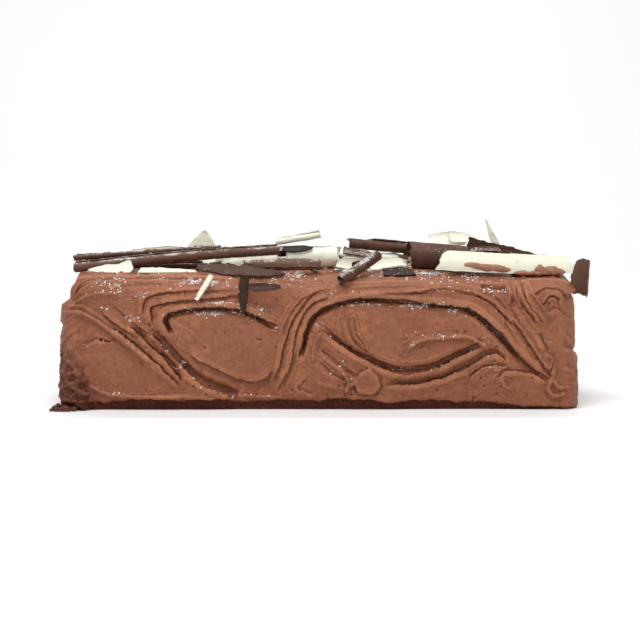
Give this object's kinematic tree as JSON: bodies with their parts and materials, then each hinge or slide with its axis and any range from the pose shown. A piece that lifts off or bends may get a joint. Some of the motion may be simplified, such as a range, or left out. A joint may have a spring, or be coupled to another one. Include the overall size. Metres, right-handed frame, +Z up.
{
  "type": "yule log cake",
  "caption": "Long bar cake under swirled milk chocolate buttercream, topped with dark and white chocolate curls, flakes and a dusting of icing sugar",
  "frame": {"origin": "centre of the cake's flat base, on the surface it stands on", "axes": "+X runs along the log to the right seen from the front, -Y faces the front, +Z is up"},
  "size_m": [0.3161, 0.109, 0.1111],
  "materials": {
    "buttercream": "soft satin chocolate buttercream with spatula ridges, slightly translucent",
    "dark_chocolate": "dry, finely streaked dark chocolate with a faint bloom",
    "white_chocolate": "smooth ivory white chocolate with a low sheen"
  },
  "bodies": {
    "root": {"black_shard_centre": "dark_chocolate", "cake_log": "buttercream", "dark_curl_broad": "dark_chocolate", "dark_curl_diagonal": "dark_chocolate", "dark_curl_front_centre": "dark_chocolate", "dark_curl_left_end": "dark_chocolate", "dark_curl_long": "dark_chocolate", "dark_curl_rear_centre": "dark_chocolate", "dark_curl_rear_edge": "dark_chocolate", "dark_curl_rear_left": "dark_chocolate", "dark_curl_rear_mid": "dark_chocolate", "dark_curl_rear_right": "dark_chocolate", "dark_curl_rough": "dark_chocolate", "dark_curl_small_left": "dark_chocolate", "dark_curl_small_mid": "dark_chocolate", "dark_curl_top_centre": "dark_chocolate", "dark_curl_top_left": "dark_chocolate", "dark_curl_top_right": "dark_chocolate", "dark_flake_behind_right": "dark_chocolate", "dark_flake_front_mid": "dark_chocolate", "dark_flake_front_right": "dark_chocolate", "dark_flake_rear_mid": "dark_chocolate", "dark_flake_right": "dark_chocolate", "dark_flake_right_end": "dark_chocolate", "dark_shard_front": "dark_chocolate", "dark_shard_left": "dark_chocolate", "dark_shard_mid_left": "dark_chocolate", "dark_shard_rear_side": "dark_chocolate", "dark_shard_shoulder": "dark_chocolate", "dark_stick_long": "dark_chocolate", "dark_stick_top": "dark_chocolate", "dark_stick_upright": "dark_chocolate", "grey_flake_front": "dark_chocolate", "white_curl_centre": "white_chocolate", "white_curl_long_right": "white_chocolate", "white_curl_raised": "white_chocolate", "white_curl_rear_left": "white_chocolate", "white_curl_rear_mid": "white_chocolate", "white_curl_small_right": "white_chocolate", "white_curl_top_centre": "white_chocolate", "white_curl_top_left": "white_chocolate", "white_curl_top_right": "white_chocolate", "white_curl_under_mid": "white_chocolate", "white_flake_front_left": "white_chocolate", "white_flake_mid_left": "white_chocolate", "white_flake_mid_right": "white_chocolate", "white_flake_rear_edge": "white_chocolate", "white_flake_rear_left": "white_chocolate", "white_flake_rear_right": "white_chocolate", "white_flake_rear_side": "white_chocolate", "white_flake_tall_left": "white_chocolate", "white_flake_top_left": "white_chocolate", "white_flake_top_right": "white_chocolate", "white_sheet_left_centre": "white_chocolate", "white_spike": "white_chocolate", "white_stick_front_left": "white_chocolate", "white_stick_leaning": "white_chocolate", "white_stick_rear": "white_chocolate", "white_strip_left": "white_chocolate"}
  },
  "joints": []
}
